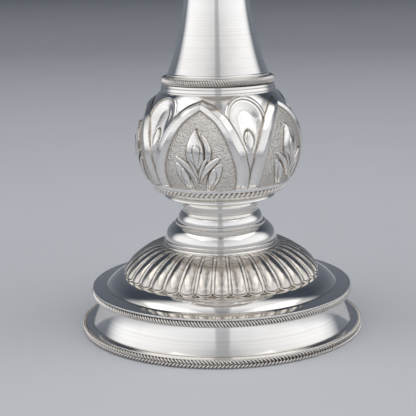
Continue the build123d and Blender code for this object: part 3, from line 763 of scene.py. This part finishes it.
# %% Punched ground
FIELD_SINK, GROUND_SINK, PEBBLE_RISE = 0.14, 0.18, 0.07
BARE = 0.02                  # the ground is where the sprig is lower than this
pebble = np.sin(math.tau * x_petal / 0.63 + 1.4 * np.sin(math.tau * height / 1.7))
pebble *= np.sin(math.tau * height / 0.6 + 1.2 * np.sin(math.tau * x_petal / 1.9))
field = np.where(motif > BARE, motif - FIELD_SINK, -GROUND_SINK + PEBBLE_RISE * pebble)
petal = field * (1 - in_border) + border * in_border
stipple = (motif <= BARE) * in_petal * (1 - in_border)
print("punched ground covers", round(float(stipple[outside].mean()) * 100), "% of the bulb")

# %% [markdown]
# The rounded petals stand behind and fill the gaps. Each is an arch with a thin rim, dished
# inside, with a drop shaped boss low down.

# %% Rounded petals
ARCH_SPRING, ARCH_HALF, ARCH_RISE = 69, 6.3, 6.4
RIM_HEIGHT, RIM_INSIDE = 0.32, 0.85
DISH_DEPTH, DISH_INSIDE, DISH_WIDTH = 1.5, 2.6, 3.8
BOSS_RISE, BOSS_GROOVE = 0.55, 0.18

round_top = np.hypot(x_round / ARCH_HALF, (height - ARCH_SPRING) / ARCH_RISE) - 1
straight = np.abs(x_round) / ARCH_HALF - 1
arch = np.where(height > ARCH_SPRING, round_top, straight) * ARCH_HALF
in_arch = ramp(-arch, 0.3)
hollow = ramp(-(arch + RIM_INSIDE), 0.4)
dish = -DISH_DEPTH * ramp(-(arch + DISH_INSIDE), DISH_WIDTH) * ramp(height - 65.5, 11.0)
boss = leaf(x_round, height, (0, 58.9), (0, 65.7), 1.4, blunt=1.5)
groove = leaf(x_round, height, (0, 58.6), (0, 66.3), 1.85, blunt=1.5)
back = in_arch * (RIM_HEIGHT * (1 - hollow) + (dish - 0.15) * hollow)
back = np.where(boss > 0, back + BOSS_RISE * boss, np.where(groove > 0, back - BOSS_GROOVE, back))
boss_line = (groove > 0) * (boss <= 0) * ramp(height - 61.5, 2.0)
print("rounded petals are dished to", round(float(back[outside].min()), 2), "mm")

# %% Push out the relief and finish the knop
relief = petal * in_petal + back * (1 - in_petal)
relief = relief * ramp(height - 48.2, 0.8) * ramp(75.5 - height, 0.3)
relief = np.where(outside, relief, 0)
flat = points[:, :2] / radius[:, None]
points[:, :2] += flat * relief[:, None]
write_points(bm, points)

CREASE_WIDTH = 0.22
crease = 0.85 * fine_line(outer, CREASE_WIDTH) + 0.6 * fine_line(inner, CREASE_WIDTH) * in_petal
crease += 0.7 * fine_line(arch + 0.9, CREASE_WIDTH) * (1 - in_petal)
crease += 1.1 * np.clip(lines, 0, 1) * in_petal * (1 - in_border) + 0.9 * boss_line * (1 - in_petal)
knop_shell = finish_piece(bm, "silver_knop_shell", "knop_shell", bright_silver, weighted=False)
write_layer(knop_shell, "tarnish_and_shade", np.where(outside, np.clip(crease, 0, 1), 0))
write_layer(knop_shell, "stipple", np.where(outside, stipple, 0))

# %% [markdown]
# ## Stem, ring and crown
# The stem is a trumpet: two arcs that meet upright at the waist. It stands on a small
# rounded ring and carries a bead. The picture ends part way up, so the upper half simply
# carries on the curve and opens again under the bowl.

# %% Turn the stem
STEM_FOOT, STEM_WAIST, STEM_TOP = (15.5, 81.2), (9.3, 115.2), (12.6, 131.0)


def tangent_sag_out(waist, end):
    """Sag of the arc that leaves the waist upright and opens to an end."""
    return tangent_sag((end[0], waist[1]), (waist[0], end[1]))


low_sag, high_sag = tangent_sag_out(STEM_WAIST, STEM_FOOT), tangent_sag_out(STEM_WAIST, STEM_TOP)
turned_piece(
    "stem_ring",
    (14.0, 80.2), (15.5, 80.2), (15.5, 81.2, -0.3), (14.0, 81.2), edge_round=0.05)
turned_piece(
    "stem",
    STEM_FOOT, (*STEM_WAIST, low_sag), (*STEM_TOP, high_sag), (11.6, 131.0),
    (8.3, 115.2, -high_sag), (14.5, 81.2, -low_sag))
turned_piece(
    "stem_crown",
    (9.0, 131.0), (13.2, 131.0), (13.2, 133.4, -1.0), (9.0, 133.4), edge_round=0.1)

# %% [markdown]
# ## Calyx and bowl
# The calyx is a hollow flare that lifts the bowl off the stem. The bowl holds the butter:
# a round wall with a turned out lip and a rope under it. Its inside is seen from above,
# so the section follows both faces of the sheet with the same arcs.

# %% Turn calyx and bowl
BOWL_STEPS = 40              # steps along the round wall
bowl_sag = tangent_sag((46.0, 175.0), (22.0, 146.0))
inside_sag = tangent_sag((44.6, 175.0), (22.0, 147.4))
lip_sag = tangent_sag_out((46.0, 176.8), (48.4, 183.8))
turned_piece(
    "calyx",
    (9.0, 133.4), (12.6, 133.4), (12.6, 135.2), (22.0, 145.0, 1.4), (22.0, 146.0), (18.7, 146.0),
    (18.7, 145.0), (9.0, 135.2, -1.4), edge_round=0.14)
bowl = turned_piece(
    "bowl",
    (2.7, 146.0), (22.0, 146.0), (46.0, 175.0, -bowl_sag, BOWL_STEPS), (46.0, 176.8),
    (48.4, 183.8, lip_sag), (47.0, 183.8), (44.6, 176.8, -lip_sag), (44.6, 175.0),
    (22.0, 147.4, inside_sag, BOWL_STEPS), (2.7, 147.4), edge_round=0.3)

# %% [markdown]
# The bowl gets painted shade on its outside, darker from the rope down to the calyx, so that
# its underside reads darker. Only the outside gets it: there the normals lean away from the axis.

# %% Painted shade under the bowl
UNDER_SHADE = 0.38            # at the foot of the bowl
UNDER_SHADE_MIDDLE, UNDER_SHADE_WIDTH = 161, 28            # heights over which it grows
places = [(vertex.co, vertex.normal) for vertex in bowl.data.vertices]
drop = UNDER_SHADE_MIDDLE - np.array([place.z for place, _ in places]) / MM
leans_out = np.array([place.xy.dot(normal.xy) for place, normal in places]) > 0
corners = np.array([point.value for point in bowl.data.attributes["tarnish_and_shade"].data])
# painted shade under the bowl, darkest at its foot
film_and_shade = UNDER_SHADE * ramp(drop, UNDER_SHADE_WIDTH) * leans_out
write_layer(bowl, "tarnish_and_shade", np.maximum(corners, film_and_shade))
print("film on", int((film_and_shade > 0).sum()), "points of the bowl")

# %% [markdown]
# ## Twisted ropes
# Each rope is a few wires twisted together and soldered into its seat. A helix of tubes
# would bury most of its faces in its neighbours, so the rope is one skin: a section with
# one round lobe per wire is spun round the lamp, and each ring of points is then turned
# about the middle of the wire, a little more at each step. The valleys between the lobes
# hold tarnish and painted shade, so they are written as recess.

# %% Rope maker
WIRE_POINTS = 6              # points of the section for each wire
CREST_STEPS = 5              # steps of the turn for each crest of the twist
WIRE_ROUND = 1.4             # power that rounds a wire


def twisted_rope(node, name, seat, bottom, height, depth, wires, twists, hand, valley, valley_tarnish_and_shade=1.0):
    """Rope of twisted wires in the seat of its node. hand is 1 or -1 for the way of the twist,
    valley the radius between two wires as a share of the full one."""
    middle = Vector((seat + depth - height / 2, 0, bottom + height / 2))
    bm = bmesh.new()
    section = bmesh.ops.create_circle(
        bm, cap_ends=False, segments=wires * WIRE_POINTS, radius=height / 2)["verts"]
    for vertex in section:
        turned = math.atan2(vertex.co.y, vertex.co.x)
        vertex.co *= valley + (1 - valley) * abs(math.cos(wires * turned / 2)) ** WIRE_ROUND
    upright = Matrix.Rotation(math.radians(90), 3, "X")
    bmesh.ops.rotate(bm, verts=section, cent=(0, 0, 0), matrix=upright)
    bmesh.ops.translate(bm, verts=section, vec=middle)
    spin_round(bm, twists * wires * CREST_STEPS)
    points = read_points(bm)
    radius = np.hypot(points[:, 0], points[:, 1])
    flat = points[:, :2] / radius[:, None]
    twist = np.arctan2(points[:, 1], points[:, 0]) * twists * hand
    out, rise = radius - middle.x, points[:, 2] - middle.z
    turned_out = out * np.cos(twist) - rise * np.sin(twist)
    turned_rise = out * np.sin(twist) + rise * np.cos(twist)
    write_points(bm, np.column_stack([flat * (middle.x + turned_out)[:, None], middle.z + turned_rise]))
    bmesh.ops.recalc_face_normals(bm, faces=bm.faces)
    swell = (np.hypot(out, rise) / (height / 2) - valley) / (1 - valley)
    piece = finish_piece(bm, name, node, bright_silver, weighted=False)
    # tarnish and painted shade in the valleys between the wires
    write_layer(piece, "tarnish_and_shade", np.clip(1.8 - 2.3 * swell, 0, 1) * valley_tarnish_and_shade)


print("rope maker:", WIRE_POINTS, "points for each wire")

# %% [markdown]
# The rim has two ropes of opposite twist, one on the other, which together look like a
# plait. The others lie singly: four wires on plate and band, two under the knop and at the
# foot of the calyx, three under the lip of the bowl.

# %% Lay the ropes
for rope in (
        # node, name, seat, bottom, height, depth, wires, twists, hand, valley, and tarnish and painted
        # shade of the valleys
        ("foot_rim_rope_lower", "rope_rim_lower", 43.8, 0.1, 1.25, 1.2, 2, 124, 1, 0.34),
        ("foot_rim_rope_upper", "rope_rim_upper", 43.8, 1.35, 1.25, 1.2, 2, 124, -1, 0.34),
        ("plate_rope", "rope_plate", 40.3, 11.0, 2.3, 1.25, 4, 69, -1, 0.66),
        ("knop_cup_rope", "rope_knop_cup", 19.0, 44.7, 2.2, 2.0, 2, 41, 1, 0.5, 0.6),
        ("knop_band_rope", "rope_knop_band", 16.1, 77.9, 2.3, 1.6, 4, 34, -1, 0.66),
        ("calyx_rope", "rope_calyx", 12.6, 133.4, 1.8, 1.6, 2, 34, 1, 0.5, 0.6),
        ("bowl_rope", "rope_bowl", 46.0, 175.0, 1.8, 1.5, 3, 99, -1, 0.52)):
    twisted_rope(*rope)

# %% [markdown]
# ## Wick and socket
# The socket is a flanged cap nut on the end of the rod, with a hole for the wick in its
# domed top. The wick is a whittled stick wound with cotton, and it is the one thing that
# lifts out. Wood and cotton need no more than one noise each: it mixes two colours, and
# sets the roughness and a little bump. The wood's is stretched along the stick as grain.

# %% Finishes of the wick
def grain(add, link, shader, vector, texture, colours, rough, depth=0.0):
    """Noise that mixes two colours and sets the roughness, and a bump where a depth is given."""
    fleck = noise(add, link, vector, *texture)
    link(tint(add, link, fleck, *colours), shader.inputs["Base Color"])
    link(remap(add, link, fleck, *rough), shader.inputs["Roughness"])
    if depth:
        link(bump(add, link, fleck, depth), shader.inputs["Normal"])


wick_wood, add, link, shader = new_finish("whittled_wood")
stretch = add("ShaderNodeMapping", Scale=(1.0, 1.0, 0.08))
link(add("ShaderNodeTexCoord").outputs["Object"], stretch.inputs["Vector"])
grain(add, link, shader, stretch.outputs[0], texture=(2600.0, 4.0, 0.6),
      colours=((0.36, 0.23, 0.12), (0.66, 0.49, 0.30)), rough=(0.3, 0.7, 0.5, 0.75), depth=0.00008)

wick_cotton, add, link, shader = new_finish("wound_cotton")
place = add("ShaderNodeTexCoord").outputs["Object"]
grain(add, link, shader, place, texture=(5200.0, 5.0, 0.7),
      colours=((0.60, 0.55, 0.45), (0.86, 0.83, 0.76)), rough=(0.2, 0.8, 0.85, 1.0), depth=0.00015)
shader.inputs["Sheen Weight"].default_value = 0.3
print("finishes:", wick_wood.name, wick_cotton.name)

# %% Turn the socket
turned_piece(
    "wick_socket",
    (2.55, 147.4), (7.0, 147.4), (7.0, 148.9), (4.5, 148.9), (4.5, 160.1), (2.2, 162.4, -0.67),
    (1.3, 162.4), (1.3, 154.9), (0.0, 154.9), (0.0, 152.9), (2.55, 152.9), steps=96, edge_round=0.1)

# %% [markdown]
# The stick starts as a flat face with eleven sides, which is pulled up step by step. At
# each step every corner is cut back by a different hair, as a knife does.

# %% Whittle the stick
STICK_SIDES, STICK_FOOT, FOOT_RADIUS = 11, 154.9, 0.7
STICK_RINGS = (156.0, 1.15), (160.0, 1.2), (165.0, 1.12), (172.0, 1.05), (177.8, 0.8)   # height, radius
DEEPEST_CUT = 0.06           # as a share of the radius
whittling = np.random.default_rng(11)


def pull_up(bm, top):
    """Extrudes the top face and gives the new one. The first face stays, to close the foot."""
    lone = len(bm.faces) == 1
    made = bmesh.ops.extrude_face_region(bm, geom=[top])
    if not lone:
        bmesh.ops.delete(bm, geom=[top], context="FACES_ONLY")
    return next(part for part in made["geom"] if isinstance(part, bmesh.types.BMFace))


bm = bmesh.new()
ring = bmesh.ops.create_circle(bm, cap_ends=True, segments=STICK_SIDES, radius=FOOT_RADIUS)["verts"]
bmesh.ops.translate(bm, verts=ring, vec=(0, 0, STICK_FOOT))
top = next(iter(bm.faces))
for z, radius in STICK_RINGS:
    top = pull_up(bm, top)
    for vertex in top.verts:
        around = math.atan2(vertex.co.y, vertex.co.x)
        cut = radius * (1 - whittling.uniform(0, DEEPEST_CUT))
        vertex.co = (cut * math.cos(around), cut * math.sin(around), z)
bmesh.ops.recalc_face_normals(bm, faces=bm.faces)
finish_piece(bm, "wick_stick_whittled", "wick_stick", wick_wood, "wick")

# %% [markdown]
# Cotton is a twist of soft strands, so its section has lobes that turn as the wick rises.
# It is pulled up in even steps first. Then its points take their distance from the axis
# from a smooth curve, thick above the socket and closed in a tip.

# %% Wind the cotton
STRANDS, STRAND_POINTS = 5, 8
COTTON_TURN, COTTON_ROWS = math.radians(260), 60
COTTON_FOOT, COTTON_TIP, COTTON_RADIUS = 162.8, 181.8, 2.4
COTTON_SHARES = (0, 0.06, 0.3, 0.6, 0.85, 0.96, 1.0)
COTTON_RADII = (1.5, 2.1, 2.4, 2.15, 1.5, 0.9, 0.3)
STRAND_DEPTH = 0.18          # of the valleys, as a share of the radius

bm = bmesh.new()
ring = bmesh.ops.create_circle(bm, cap_ends=True, segments=STRANDS * STRAND_POINTS, radius=1.0)["verts"]
bmesh.ops.translate(bm, verts=ring, vec=(0, 0, COTTON_FOOT))
top = next(iter(bm.faces))
for _ in range(COTTON_ROWS):
    top = pull_up(bm, top)
    bmesh.ops.translate(bm, verts=top.verts, vec=(0, 0, (COTTON_TIP - COTTON_FOOT) / COTTON_ROWS))
points = read_points(bm)
share = (points[:, 2] - COTTON_FOOT) / (COTTON_TIP - COTTON_FOOT)
around = np.arctan2(points[:, 1], points[:, 0])
thick = smooth_curve(share, COTTON_SHARES, COTTON_RADII)
swell = 1 - STRAND_DEPTH + STRAND_DEPTH * np.abs(np.cos(STRANDS * around / 2))
angle = around + COTTON_TURN * share
reach = np.minimum(thick * swell, COTTON_RADIUS)
write_points(bm, np.column_stack([reach * np.cos(angle), reach * np.sin(angle), points[:, 2]]))
bmesh.ops.recalc_face_normals(bm, faces=bm.faces)
finish_piece(bm, "wick_cotton_wound", "wick_cotton", wick_cotton, "wick", weighted=False)

# %% [markdown]
# ## The rod and what holds it
# Rod, nut, washer and bridge plate sit inside the foot, and the base plate closes it. Their
# solids have the right shape already, so they stay and only get a finish: drawn steel with
# fine lines round the axis, and a duller silver on the base plate.

# %% Finish the hidden pieces
drawn_steel, add, link, shader = new_finish("drawn_steel")
shader.inputs["Metallic"].default_value = 1.0
grain(add, link, shader, ring_place(add, link)[1], texture=(3000.0, 4.0, 0.7),
      colours=((0.36, 0.35, 0.34), (0.58, 0.57, 0.55)), rough=(0.2, 0.8, 0.28, 0.45))
under_silver = silver_finish("under_silver", gloss=0.16, ring_depth=0.00002)
hidden = dict.fromkeys(("tie_rod", "tie_rod_nut", "tie_rod_washer", "bridge_plate"), drawn_steel)
hidden["base_plate"] = under_silver
for node, finish in hidden.items():
    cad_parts[node].data.materials.clear()
    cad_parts[node].data.materials.append(finish)
    print("finished in place:", node, "in", finish.name)

# %% [markdown]
# ## Floor
# A mirror shows its room, so the room is kept plain. The floor is a large pale sheet with a
# painted pool of light: palest round the lamp and painted greyer far off, as light falls away.
# The polished undersides then have something darker to show than what they stand on, and the far edge is
# never a hard line.

# %% Floor
FLOOR_SIZE = 8.0             # half its side in metres
# painted lit colour near the lamp and painted dim colour far off
FLOOR_PAINTED_LIT_NEAR, FLOOR_PAINTED_DIM_FAR = (0.76, 0.77, 0.80), (0.40, 0.41, 0.44)
bm = bmesh.new()
bmesh.ops.create_grid(bm, x_segments=8, y_segments=8, size=FLOOR_SIZE)
floor_mesh = bpy.data.meshes.new("pale_floor")
bm.to_mesh(floor_mesh)
bm.free()
floor = bpy.data.objects.new("pale_floor", floor_mesh)
bpy.context.scene.collection.objects.link(floor)
floor_paint, add, link, shader = new_finish("pale_floor_paint")
place, rings = ring_place(add, link)
away = add("ShaderNodeVectorMath", operation="LENGTH")
link(rings, away.inputs[0])
# painted pool of light: palest near the axis, greyer far off
shade = remap(add, link, away.outputs["Value"], 0.06, 1.2, 0.0, 0.96)
mottle = remap(add, link, noise(add, link, place, 9.0, 3.0), 0.3, 0.7, 0.0, 0.04)
shade = combine(add, link, "ADD", shade, mottle)
link(tint(add, link, shade, FLOOR_PAINTED_LIT_NEAR, FLOOR_PAINTED_DIM_FAR), shader.inputs["Base Color"])
shader.inputs["Roughness"].default_value = 0.85
shader.inputs["Specular IOR Level"].default_value = 0.2
floor_mesh.materials.append(floor_paint)
print("floor:", 2 * FLOOR_SIZE, "m square")

# %% [markdown]
# ## Light
# Two tall soft lights stand left and right and leave a narrow gap in front, which gives
# the grey strip down the middle of every shell. Two more hang overhead with the same gap,
# and weak ones close the gap, so that the strip is grey and not black. The tall and the
# overhead ones fade towards the back, so that the sides of the silver turn dark and the
# shape reads. Two lights that face away keep the floor behind the tall ones from going
# dark in other views.

# %% Soft lights
def soft_light(name, middle, across, upward, width, height, radiance, *fades, inward=True):
    """Large soft light that faces the lamp, or away from it. A fade is an axis, two places on it
    and a strength at each."""
    middle = Vector(middle)
    data = bpy.data.lights.new(name, "AREA")
    data.shape, data.size, data.size_y = "RECTANGLE", width, height
    data.energy = radiance * math.pi * width * height
    data.use_nodes = True
    add, link = tree_tools(data.node_tree)
    place = add("ShaderNodeSeparateXYZ")
    link(add("ShaderNodeNewGeometry").outputs["Position"], place.inputs[0])
    strength = 1.0
    for axis, *span in fades:
        fade = remap(add, link, place.outputs[axis], *span, curve="SMOOTHSTEP")
        strength = combine(add, link, "MULTIPLY", fade, strength)
    link(strength, data.node_tree.nodes["Emission"].inputs["Strength"])
    light = bpy.data.objects.new(name, data)
    across, upward = Vector(across).normalized(), Vector(upward).normalized()
    if (across.cross(upward).dot(middle) < 0) == inward:
        across = -across
    turned = Matrix((across, upward, across.cross(upward))).transposed()
    light.matrix_world = Matrix.Translation(middle) @ turned.to_4x4()
    bpy.context.scene.collection.objects.link(light)
    print(f"light: {name}, {width:.2f} by {height:.2f} m")


print("a light's radiance is what a mirror shows of it, where 1 is white")

# %% Place the lights
GAP = 0.34                   # half the gap between left and right, in front and overhead
PANEL_NEAR, PANEL_LOW, PANEL_HIGH = -3.0, 0.0, 4.08
PANEL_FAR = (3.4, 2.4)       # far end of a tall light: to the side, and back
TOP_SIDE, TOP_LENGTH, TOP_MIDDLE = 4.0, 6.4, -0.6
SIDE_LIGHT, OUTSIDE_LIGHT, TOP_LIGHT, GAP_LIGHT, GAP_TOP_LIGHT = 0.88, 0.8, 0.86, 0.33, 0.4
UP, RIGHT, BACK = (0, 0, 1), (1, 0, 0), (0, 1, 0)

middle_height, tall = (PANEL_LOW + PANEL_HIGH) / 2, PANEL_HIGH - PANEL_LOW
upper_fade = ("Z", 0.8, 3.4, 1.0, 0.55)
side_fades = (("Y", 0.2, 2.3, 1.0, 0.0), ("Y", PANEL_NEAR, 0.0, 0.72, 1.0),
              ("Z", PANEL_LOW, 0.4, 0.4, 1.0), upper_fade)
overhead_fades = ("Y", -2.2, 0.0, 0.5, 1.0), ("Y", 0.6, 2.4, 1.0, 0.0)
for side in (-1, 1):
    near = Vector((side * GAP, PANEL_NEAR, middle_height))
    far = Vector((side * PANEL_FAR[0], PANEL_FAR[1], middle_height))
    panel = (near + far) / 2, far - near, UP, (far - near).length, tall
    soft_light(f"soft_side_{side}", *panel, SIDE_LIGHT, *side_fades)
    soft_light(f"soft_outside_{side}", *panel, OUTSIDE_LIGHT, upper_fade, inward=False)
    soft_light(f"soft_top_{side}", (side * (GAP + TOP_SIDE) / 2, TOP_MIDDLE, PANEL_HIGH), RIGHT, BACK,
               TOP_SIDE - GAP, TOP_LENGTH, TOP_LIGHT, *overhead_fades)
soft_light("soft_gap", (0, PANEL_NEAR, middle_height), RIGHT, UP, 2 * GAP, tall, GAP_LIGHT,
           ("Z", PANEL_LOW, 0.4, 0.5, 1.0))
soft_light("soft_gap_top", (0, -0.2, PANEL_HIGH), RIGHT, BACK, 2 * GAP, 5.6, GAP_TOP_LIGHT,
           *overhead_fades)

# %% [markdown]
# ## Room
# Between and behind the lights the silver shows the room: a dim grey, darker overhead.
# Against that the bright lights have clear edges, as in a real studio.

# %% Room
ROOM_LEVEL, ROOM_ABOVE = (0.20, 0.22, 0.26), (0.05, 0.06, 0.08)
ABOVE = 0.6                  # height of a direction from which the room stays dark
world = bpy.data.worlds.new("plain_room")
bpy.context.scene.world = world
world.use_nodes = True
add, link = tree_tools(world.node_tree)
direction = add("ShaderNodeSeparateXYZ")
link(add("ShaderNodeTexCoord").outputs["Generated"], direction.inputs[0])
room_light = world.node_tree.nodes["Background"]
room_colour = tint(add, link, direction.outputs["Z"], ROOM_LEVEL, ROOM_ABOVE, (ABOVE, ROOM_ABOVE))
link(room_colour, room_light.inputs["Color"])
room_light.inputs["Strength"].default_value = 1.0
print("room:", world.name)

# %% [markdown]
# ## Camera
# The camera looks down at a shallow angle from close by, with a slight lean, as the
# photograph was taken. Its values come from fitting the rims and the axis of the lamp.

# %% Camera
PICTURE = 416                # width and height of the picture in pixels
FOCAL = 1150                 # focal length in the same pixels
AXIS_COLUMN = 220.4          # column of the lamp's axis in the middle row
CAMERA_PLACE = (0, -0.35793, 0.11502)
LOOK_DOWN, LEAN = 12.157, -1.15              # degrees
camera_data = bpy.data.cameras.new("camera")
camera_data.sensor_width = 36.0
camera_data.lens = FOCAL / PICTURE * camera_data.sensor_width
camera_data.clip_start, camera_data.clip_end = 0.01, 20.0
camera = bpy.data.objects.new("camera", camera_data)
yaw = math.atan((AXIS_COLUMN - PICTURE / 2) / FOCAL)
camera.matrix_world = (
    Matrix.Translation(CAMERA_PLACE)
    @ Matrix.Rotation(yaw, 4, "Z")
    @ Matrix.Rotation(math.radians(90 - LOOK_DOWN), 4, "X")
    @ Matrix.Rotation(math.radians(LEAN), 4, "Z"))
bpy.context.scene.collection.objects.link(camera)
bpy.context.scene.camera = camera
bpy.context.scene.view_settings.view_transform = "Standard"
print("camera: lens", round(camera_data.lens, 1), "mm")
